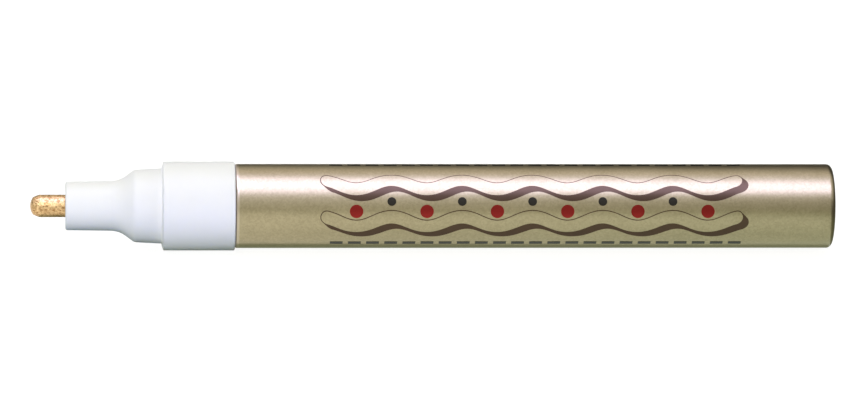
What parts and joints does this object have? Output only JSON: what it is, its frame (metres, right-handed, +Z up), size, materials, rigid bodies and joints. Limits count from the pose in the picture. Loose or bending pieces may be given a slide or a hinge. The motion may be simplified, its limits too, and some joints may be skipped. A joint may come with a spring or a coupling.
{
  "type": "paint marker",
  "caption": "Paint marker, cap off: gold-lacquered aluminium barrel, white stepped front section, and a bullet nib that opens a sprung paint valve when pressed in.",
  "frame": {"origin": "centre of the barrel's flat base, on the marker's axis", "axes": "-X along the axis towards the nib, +X out of the base, +Z up as the marker lies on its side"},
  "size_m": [0.1374, 0.0152, 0.0152],
  "materials": {
    "gold_lacquer": "satin gold lacquer on drawn aluminium",
    "white_plastic": "soft-gloss white polypropylene",
    "paint_soaked_fibre": "bonded fibre soaked with gold paint",
    "natural_plastic": "uncoloured moulded polyethylene",
    "spring_steel": "drawn stainless wire",
    "ball_steel": "ground stainless steel"
  },
  "bodies": {
    "body": {"barrel": "gold_lacquer", "front_section": "white_plastic", "valve_body": "natural_plastic", "spring_retainer": "natural_plastic", "valve_spring": "spring_steel"},
    "nib": {"nib": "paint_soaked_fibre"},
    "stem": {"valve_stem": "natural_plastic"},
    "ball": {"mixing_ball": "ball_steel"}
  },
  "joints": [
    {"name": "nib_press", "type": "slide", "parent": "body", "child": "nib", "axis": [1, 0, 0], "range_m": [0, 0.0024], "stiffness_N_per_m": 600},
    {"name": "valve_lift", "type": "slide", "parent": "body", "child": "stem", "axis": [1, 0, 0], "range_m": [0, 0.0024], "deforming": ["valve_spring"]},
    {"name": "ball_roll", "type": "slide", "parent": "body", "child": "ball", "axis": [-1, 0, 0], "range_m": [0, 0.0811]}
  ],
  "couplings": [
    {"joint": "valve_lift", "follows": "nib_press", "ratio": 1}
  ]
}
